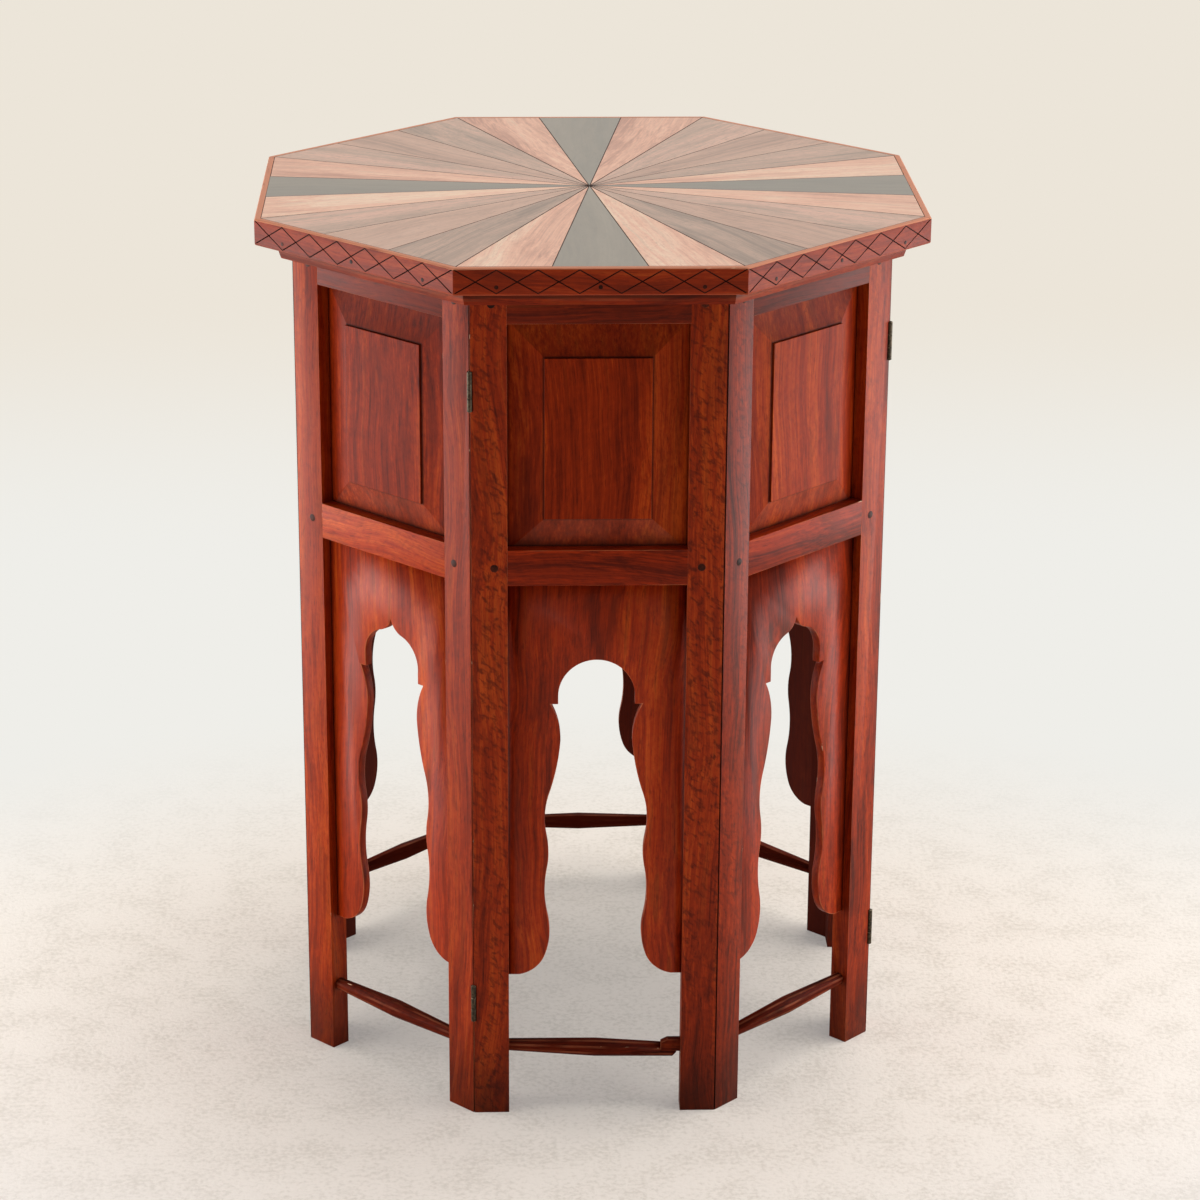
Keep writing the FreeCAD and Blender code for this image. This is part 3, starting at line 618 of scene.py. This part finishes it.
def screw(bm, across, face, toward, up):
    """A slotted screw head let in flush: a low cone cut in two by its slot"""
    turn = Matrix.Rotation(-toward * math.pi / 2, 4, "X")
    made = bmesh.ops.create_cone(bm, cap_ends=True, segments=SCREW_SIDES, radius1=SCREW,
                                 radius2=SCREW * SCREW_TOP_SHARE, depth=SCREW_HEIGHT)
    head = made["verts"]
    for side in (-1, 1):
        edges = {edge for vertex in head for edge in vertex.link_edges}
        faces = {face for vertex in head for face in vertex.link_faces}
        cut = bmesh.ops.bisect_plane(bm, geom=[*head, *edges, *faces], plane_no=(0, 1, 0),
                                     plane_co=(0, side * SCREW_SLOT, 0))
        head = list({*head, *(part for part in cut["geom_cut"] if isinstance(part, bmesh.types.BMVert))})
    faces = {face for vertex in head for face in vertex.link_faces}
    slot_face = next(face for face in faces if face.normal.z > FACING
                     and abs(face.calc_center_median().y) < SCREW_SLOT)
    for vertex in slot_face.verts:
        vertex.co.z -= SLOT_DEPTH
    spin = Matrix.Rotation(draw.uniform(0, math.pi), 4, "Z")
    place = Matrix.Translation((across, face, up)) @ turn @ spin
    bmesh.ops.transform(bm, matrix=place, verts=head)


def hinge_leaf(toward):
    """One leaf about the hinge's axis: the single one (toward 1) or the double one with its pin (-1)"""
    bm = bmesh.new()
    third = HINGE / 3
    near, far = sorted((toward * LEAF_GAP, toward * (LEAF_GAP + LEAF_THICK)))
    root = -(KNUCKLE + KNUCKLE_ROOM)
    plate(bm, (-LEAF, near, 0), (root, far, HINGE))
    if toward > 0:
        rolls = [(third + KNUCKLE_GAP, 2 * third - KNUCKLE_GAP)]
    else:
        rolls = [(0, third), (2 * third, HINGE)]
        round_bar(bm, PIN, -PIN_HEAD, HINGE + PIN_HEAD, segments=PIN_SIDES)
    for low, high in rolls:
        plate(bm, (root - LEAF_LAP, near, low), (-KNUCKLE_BITE, far, high))
        round_bar(bm, KNUCKLE, low, high)
    for share in SCREW_UP_SHARES:
        screw(bm, -LEAF * SCREW_ACROSS_SHARE, toward * (LEAF_GAP - SCREW_SEAT), toward, share * HINGE)
    return bm


bronze_finish = bronze("dark_bronze")
OUTER = abs(stile_low.y) / math.cos(math.pi / SIDES)
INNER = abs(stile_high.y) / math.cos(math.pi / SIDES)
for place, panel in enumerate(PANELS):
    straight = place % 2 == 0
    hinges = bmesh.new()
    for side in (1, -1):
        outside = straight == (side < 0)
        corner = Matrix.Rotation(-math.pi / 2 + side * math.pi / SIDES, 4, "Z")
        flip = Matrix.Rotation(0 if outside else math.pi, 4, "Z")
        for height in (LOW_HINGE, HIGH_HINGE):
            leaf = hinge_leaf(1 if straight else -1)
            shift = Matrix.Translation((OUTER if outside else INNER, 0, height - HINGE / 2))
            bmesh.ops.transform(leaf, matrix=corner @ shift @ flip, verts=leaf.verts)
            part = bpy.data.meshes.new("leaf")
            leaf.to_mesh(part)
            leaf.free()
            hinges.from_mesh(part)
            bpy.data.meshes.remove(part)
    shown(panel + "_hinge_leaves", hinges, panel + "_panel", bronze_finish, place,
          [panel + "_hinges"], smooth=40)

# Ground board. The plain octagonal board of red-brown wood under the face, which carries the
# wedges, the lipping and the moulding and is seen only from below.
GROUND_EDGE = 10 * MM
GROUND_ROUND = 0.4 * MM
ground_wood = timber("ground_board_wood", RED_DARK, RED_BASE, RED_LIGHT, RED_WORN, roughness=0.5)
ground = merged("top_board")
softened(ground, sharp(ground, least=GROUND_EDGE), GROUND_ROUND)
grained(ground, along=(1, 0, 0), figure=(0.0, 0.2))
shown("ground_board", ground, "top", ground_wood, 0, ["top_board"])

# Face wedges. Twenty-four wedges in four timbers that meet at the middle, three to a side:
# pale, ebony, pale on the straight sides and grey-brown, pink-brown, grey-brown between them.
# Their grain runs towards the middle and the joints show as fine dark lines.
face_low, face_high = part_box("ebony_wedges")
FACE_HALF = face_high.y
MIDDLE_HALF = 29 * MM
CORNER_HALF = FACE_HALF * math.tan(math.pi / SIDES)
MIDDLE = [(-MIDDLE_HALF, MIDDLE_HALF)]
CORNERS = [(-CORNER_HALF, -MIDDLE_HALF), (MIDDLE_HALF, CORNER_HALF)]
EBONY_JOINT = 0.24 * MM
PALE_JOINT = 0.46 * MM
PINK_JOINT = 0.3 * MM
BROWN_JOINT = 0.34 * MM
ebony = timber("ebony", dark=(74, 68, 60), base=(102, 91, 79), light=(120, 108, 94), wear_and_sheen=(130, 118, 104),
               streaks=0.3, flecks=0.3, roughness=0.36, sheen=0.9, coat=0.6)
pale = timber("pale_wood", dark=(178, 110, 86), base=(242, 178, 148), light=(255, 220, 190),
              wear_and_sheen=(248, 208, 180), streaks=0.3, flecks=0.3, roughness=0.38, sheen=0.5, coat=0.5)
pink = timber("pink_brown_wood", dark=(140, 98, 82), base=(196, 150, 128), light=(214, 170, 148),
              wear_and_sheen=(216, 180, 158), streaks=0.3, flecks=0.5, roughness=0.38, sheen=0.5, coat=0.5)
brown = timber("grey_brown_wood", dark=(118, 90, 76), base=(188, 149, 129), light=(228, 174, 152),
               wear_and_sheen=(210, 174, 152), streaks=0.35, flecks=0.55, roughness=0.38, sheen=0.5, coat=0.5)


def outward(stick):
    """The level direction from the middle of the table to a piece"""
    middle = sum((vertex.co for vertex in stick), Vector()) / len(stick)
    return Vector((middle.x, middle.y, 0)).normalized()


def along_edge(stick):
    """The level direction along the table's edge beside a piece"""
    return outward(stick).cross(Vector((0, 0, 1)))


def ringed(bm, copies, sides_apart=1):
    """The mesh with its copies round the middle of the table, so many sides from one to the next"""
    bmesh.ops.spin(bm, geom=[*bm.verts, *bm.edges, *bm.faces], cent=(0, 0, 0), axis=(0, 0, 1),
                   dvec=(0, 0, 0), angle=2 * math.pi * copies * sides_apart / SIDES, steps=copies,
                   use_duplicate=True)


def wedges(name, finish, stretches, first, joint):
    """The wedges of one timber: the stretches of a side that it fills, on every second side"""
    bm = bmesh.new()
    for left, right in stretches:
        points = [(0, 0), (left, -FACE_HALF), (right, -FACE_HALF)]
        under = bm.faces.new([bm.verts.new((x, y, face_low.z)) for x, y in points])
        raised = bmesh.ops.extrude_face_region(bm, geom=[under])["geom"]
        bmesh.ops.translate(bm, vec=(0, 0, face_high.z - face_low.z),
                            verts=[part for part in raised if isinstance(part, bmesh.types.BMVert)])
    bmesh.ops.recalc_face_normals(bm, faces=bm.faces)
    rims = [edge for edge in bm.edges if all(vertex.co.z > face_high.z - MERGE for vertex in edge.verts)]
    softened(bm, rims, joint, segments=1, clamp=False, mark=SOILED)
    bmesh.ops.rotate(bm, matrix=spun(first).to_3x3(), verts=bm.verts)
    ringed(bm, SIDES // 2 - 1, sides_apart=2)
    grained(bm, along=outward, figure=(0.0, 0.25), tone=0.07)
    shown(name + "_face", bm, "top", finish, 0, [name])


wedges("ebony_wedges", ebony, MIDDLE, 0, EBONY_JOINT)
wedges("pale_wedges", pale, CORNERS, 0, PALE_JOINT)
wedges("pink_wedges", pink, MIDDLE, 1, PINK_JOINT)
wedges("brown_wedges", brown, CORNERS, 1, BROWN_JOINT)

# Lipping. Eight mitred strips of red-brown wood round the edge, their outer arrises rounded over,
# each carved with a row of seven crosses that leave lozenges between them, and held by three
# dark pegs.
edge_low, edge_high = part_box("lipping")
EDGE = edge_high.y
EDGE_HALF = EDGE * math.tan(math.pi / SIDES)
CROSSES = 7
CROSS_MARGIN = 1 * MM
CUT_HALF = 0.4 * MM
CUT_DEPTH = 0.65 * MM
CUT_SLANT = 0.1 * MM
CUT_NEAR_SHARE = 0.012
UNDER_ROUND = 1.5 * MM
UNDER_WEAR = 0.3
TOP_ROUND = 1.2 * MM
# How strongly the lipping's top faces take the light colour: a painted sheen
TOP_PAINTED_SHEEN = 0.75
SQUARE_ON = 0.999
LIPPING_PEG = 1.4 * MM
PEG_HEIGHT = 5.4 * MM
LIPPING_PEG_PROUD = 0.05 * MM
PEG_STEPS = (-2.5, 0, 2.5)


def mitred(profile):
    """A strip along the front edge, from its profile out and up, with both ends mitred"""
    bm = bmesh.new()
    lean = math.tan(math.pi / SIDES)
    end = bm.faces.new([bm.verts.new((-out * lean, -out, up)) for out, up in profile])
    drawn = bmesh.ops.extrude_face_region(bm, geom=[end])["geom"]
    for part in drawn:
        if isinstance(part, bmesh.types.BMVert):
            part.co.x = -part.co.x
    bmesh.ops.recalc_face_normals(bm, faces=bm.faces)
    return bm


def long_edge(bm, out, up):
    """The edge of a mitred strip that runs along the side at this place"""
    return [edge for edge in bm.edges if all(
        abs(vertex.co.y + out) < MERGE and abs(vertex.co.z - up) < MERGE for vertex in edge.verts)]


lipping = mitred([(EDGE, edge_low.z), (FACE_HALF, edge_low.z),
                  (FACE_HALF, edge_high.z), (EDGE, edge_high.z)])
softened(lipping, long_edge(lipping, EDGE, edge_low.z), UNDER_ROUND, segments=3, mark=UNDER_WEAR)
# The rounded top arris takes the light colour in full: a painted highlight
softened(lipping, long_edge(lipping, EDGE, edge_high.z), TOP_ROUND, segments=4)
outer_face = min(lipping.faces, key=lambda face: face.normal.y)
cross_low = min(vertex.co.z for vertex in outer_face.verts)
cross_high = max(vertex.co.z for vertex in outer_face.verts)
pitch = 2 * (EDGE_HALF - CROSS_MARGIN) / CROSSES


def on_outer_face(vertex):
    """Whether a point lies on the outer face of the front strip"""
    return abs(vertex.co.y + EDGE) < MERGE


for cell in range(CROSSES):
    start = -EDGE_HALF + CROSS_MARGIN + cell * pitch
    for low, high in ((cross_low, cross_high), (cross_high, cross_low)):
        direction = Vector((pitch, 0, high - low))
        faces = [face for face in lipping.faces if face.normal.y < -SQUARE_ON]
        edges = {edge for face in faces for edge in face.edges}
        corners = {vertex for face in faces for vertex in face.verts}
        bmesh.ops.bisect_plane(lipping, geom=[*faces, *edges, *corners], dist=MERGE,
                               plane_co=(start, -EDGE, low),
                               plane_no=direction.cross(Vector((0, 1, 0))).normalized())
cuts = []
for edge in lipping.edges:
    run = edge.verts[0].co - edge.verts[1].co
    slanting = min(abs(run.x), abs(run.z)) > CUT_SLANT
    if slanting and all(on_outer_face(vertex) for vertex in edge.verts):
        cuts.append(edge)
softened(lipping, cuts, CUT_HALF, clamp=False, mark=SOILED)
for vertex in lipping.verts:
    if on_outer_face(vertex):
        share = ((vertex.co.x + EDGE_HALF - CROSS_MARGIN) / pitch) % 1.0
        rise = (vertex.co.z - cross_low) / (cross_high - cross_low)
        if min(abs(rise - share), abs(rise - 1 + share)) < CUT_NEAR_SHARE:
            vertex.co.y += CUT_DEPTH
# The lipping's top faces are painted lighter: a painted sheen
wear_and_sheen_layer = lipping.faces.layers.float["wear_and_sheen"]
for face in lipping.faces:
    if face.normal.z > FACING:
        face[wear_and_sheen_layer] = TOP_PAINTED_SHEEN
ringed(lipping, SIDES - 1)
grained(lipping, along=along_edge, figure=(0.0, 0.4))
# Its light colour, spread almost evenly over the top and the top arris, is a painted sheen
lipping_wood = timber("lipping_wood", dark=(92, 25, 6), base=(138, 42, 10), light=(172, 70, 24),
                      wear_and_sheen=(216, 140, 108), streaks=0.15, sheen=0.12, wear_and_sheen_amount=1.0, wear_and_sheen_threshold=0.1)
shown("carved_lipping", lipping, "top", lipping_wood, 0, ["lipping"], smooth=35)
lipping_pegs = bmesh.new()
for steps in PEG_STEPS:
    peg(lipping_pegs, (steps * pitch, edge_low.z + PEG_HEIGHT), LIPPING_PEG,
        -EDGE - LIPPING_PEG_PROUD, -FACE_HALF)
ringed(lipping_pegs, SIDES - 1)
grained(lipping_pegs, along=outward)
shown("edge_pegs", lipping_pegs, "top", dark_wood)

# Skirt moulding. Eight mitred lengths glued under the edge, flat above and rounded under,
# whose tapered inner face guides the top down over the base.
skirt_low, skirt_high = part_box("skirt_moulding")
SKIRT = skirt_high.y
SKIRT_SQUARE = 5 * MM
SKIRT_FOOT = 2.2 * MM
SKIRT_LIP = 0.8 * MM
SKIRT_FIT = 7.5 * MM
SKIRT_ROUND = 4 * MM
SKIRT_SHADE_LOW = 7.6 * MM
SKIRT_SHADE_HIGH = 6 * MM


def skirt_painted_shade(f):
    """Painted shade on the moulding under the overhanging edge of the top: deepest on its square part
    close under the edge, with an even share over the whole moulding
    """
    square = f.ease(parted(f)[2], skirt_high.z - SKIRT_SHADE_LOW, skirt_high.z - SKIRT_SHADE_HIGH)
    return square * 0.4 + 0.36


skirt_wood = timber("moulding_wood", RED_DARK, RED_BASE, RED_LIGHT, RED_WORN, wear_and_sheen_amount=0.2, grime_and_painted_shade=skirt_painted_shade)
skirt = mitred([(SKIRT, skirt_high.z - SKIRT_SQUARE), (SKIRT - SKIRT_FOOT, skirt_low.z),
                (SKIRT - SKIRT_FOOT - SKIRT_LIP, skirt_low.z), (SKIRT - SKIRT_FIT, skirt_high.z),
                (SKIRT, skirt_high.z)])
softened(skirt, long_edge(skirt, SKIRT, skirt_high.z - SKIRT_SQUARE), SKIRT_ROUND, segments=7,
         mark=HALF_WORN)
ringed(skirt, SIDES - 1)
grained(skirt, along=along_edge, figure=(0.0, 0.3))
shown("moulded_skirt", skirt, "top", skirt_wood, 0, ["skirt_moulding"], smooth=35)

# Floor, lamps and camera. A plain pale floor that fades into a cream background, a broad soft
# panel of light at each side, lower than the table's top so that the top doesn't mirror it, a
# soft sun high up, and the photograph's viewpoint.
FLOOR_WIDTH = 60.0
FLOOR_CLOUD = (30, 30)
FLOOR_GRIT = (270, 270)
FLOOR_NEAR = (230, 229, 230)
FLOOR_TOP = (235, 223, 209)
FLOOR_PITS = (211, 198, 181)
FLOOR_MID = (239, 238, 233)
FLOOR_FAR = (236, 229, 217)
FLOOR_LIFT = 0.28
SKY_INK = (236, 229, 217)
FILL = 0.16
LAMP_SIZE = (1.2, 0.54)
LAMP_GAP = 20 * MM
LAMP_AWAY = 1.0
LAMP_BACK = -0.15
LAMP_POWER = {"left": 11.5, "right": 10.3}
SUN_FROM = Vector((0.35, 0.3, 1.0))
SUN_POWER = 2.2
SUN_SPREAD = math.radians(70)
EYE_TARGET = Vector((8.6, 0, 290.4)) * MM
EYE_DISTANCE = 2449 * MM
EYE_YAW = math.radians(-2.105)
EYE_PITCH = math.radians(19.812)
EYE_ROLL = math.radians(0.351)
LENS = 107.255

floor_bm = bmesh.new()
bmesh.ops.create_grid(floor_bm, x_segments=1, y_segments=1, size=FLOOR_WIDTH / 2)
floor_mesh = bpy.data.meshes.new("floor")
floor_bm.to_mesh(floor_mesh)
floor_bm.free()
f = Finish(bpy.data.materials.new("floor"))
ground_coords = f.add("ShaderNodeTexCoord", out="Object")
back = f.add("ShaderNodeSeparateXYZ", {}, {0: ground_coords}, out=1)
away = f.add("ShaderNodeVectorMath", {"operation": "LENGTH"}, {0: ground_coords}, out="Value")
cloud = f.noise(ground_coords, *FLOOR_CLOUD, detail=3)
grit = f.noise(ground_coords, *FLOOR_GRIT, detail=4, rough=0.6) * 0.65 + cloud * 0.35
plaster = f.mix(f.ease(grit, 0.34, 0.56), ink(*FLOOR_PITS), ink(*FLOOR_TOP))
bumps = f.add("ShaderNodeBump", {}, {"Strength": 0.4, "Distance": 0.002, "Height": grit})
seen = f.add("ShaderNodeLightPath", out="Is Camera Ray")
lit = f.add("ShaderNodeBsdfDiffuse", {}, {"Color": plaster, "Normal": bumps})
paler = f.mix(f.ease(back, -0.4, 0.5), ink(*FLOOR_NEAR), ink(*FLOOR_MID))
glow = f.add("ShaderNodeEmission", {}, {"Color": f.mix(f.ease(back, 0.9, 1.9), paler, ink(*FLOOR_FAR))})
lift = f.ease(away + f.ease(back, 0.0, 0.6) * 0.3, 0.25, 0.9) * (1 - FLOOR_LIFT) + FLOOR_LIFT
shine = f.add("ShaderNodeMixShader", {}, {0: seen * lift, 1: lit, 2: glow})
f.add("ShaderNodeOutputMaterial", {}, {"Surface": shine})
floor_mesh.materials.append(f.owner)
floor = bpy.data.objects.new("floor", floor_mesh)
bpy.context.scene.collection.objects.link(floor)

for name, power in LAMP_POWER.items():
    lamp = bpy.data.lights.new(name, "AREA")
    lamp.shape = "RECTANGLE"
    lamp.size, lamp.size_y = LAMP_SIZE
    lamp.energy = power
    holder = bpy.data.objects.new(name, lamp)
    away_x = LAMP_AWAY if name == "right" else -LAMP_AWAY
    holder.location = (away_x, LAMP_BACK, lamp.size_y / 2 + LAMP_GAP)
    holder.rotation_euler = Vector((-away_x, 0, 0)).to_track_quat("-Z", "Y").to_euler()
    holder.visible_camera = False
    bpy.context.scene.collection.objects.link(holder)
sun = bpy.data.lights.new("sun", "SUN")
sun.energy = SUN_POWER
sun.angle = SUN_SPREAD
holder = bpy.data.objects.new("sun", sun)
holder.rotation_euler = (-SUN_FROM).to_track_quat("-Z", "Y").to_euler()
bpy.context.scene.collection.objects.link(holder)

f = Finish(bpy.data.worlds.new("studio"))
bpy.context.scene.world = f.owner
straight_on = f.add("ShaderNodeLightPath", out="Is Camera Ray")
mirrored = f.add("ShaderNodeLightPath", out="Is Glossy Ray")
through = f.add("ShaderNodeLightPath", out="Is Transmission Ray")
strength = straight_on.most(mirrored).most(through) * (1 - FILL) + FILL
sky = f.add("ShaderNodeBackground", {}, {"Color": ink(*SKY_INK), "Strength": strength})
f.add("ShaderNodeOutputWorld", {}, {"Surface": sky})

lens = bpy.data.cameras.new("camera")
lens.lens = LENS
camera = bpy.data.objects.new("camera", lens)
aim = (Matrix.Rotation(EYE_YAW, 4, "Z") @ Matrix.Rotation(math.pi / 2 - EYE_PITCH, 4, "X")
       @ Matrix.Rotation(EYE_ROLL, 4, "Z"))
camera.matrix_world = Matrix.Translation(EYE_TARGET + aim.to_3x3() @ Vector((0, 0, EYE_DISTANCE))) @ aim
bpy.context.scene.collection.objects.link(camera)
bpy.context.scene.camera = camera
bpy.context.scene.view_settings.view_transform = "Standard"
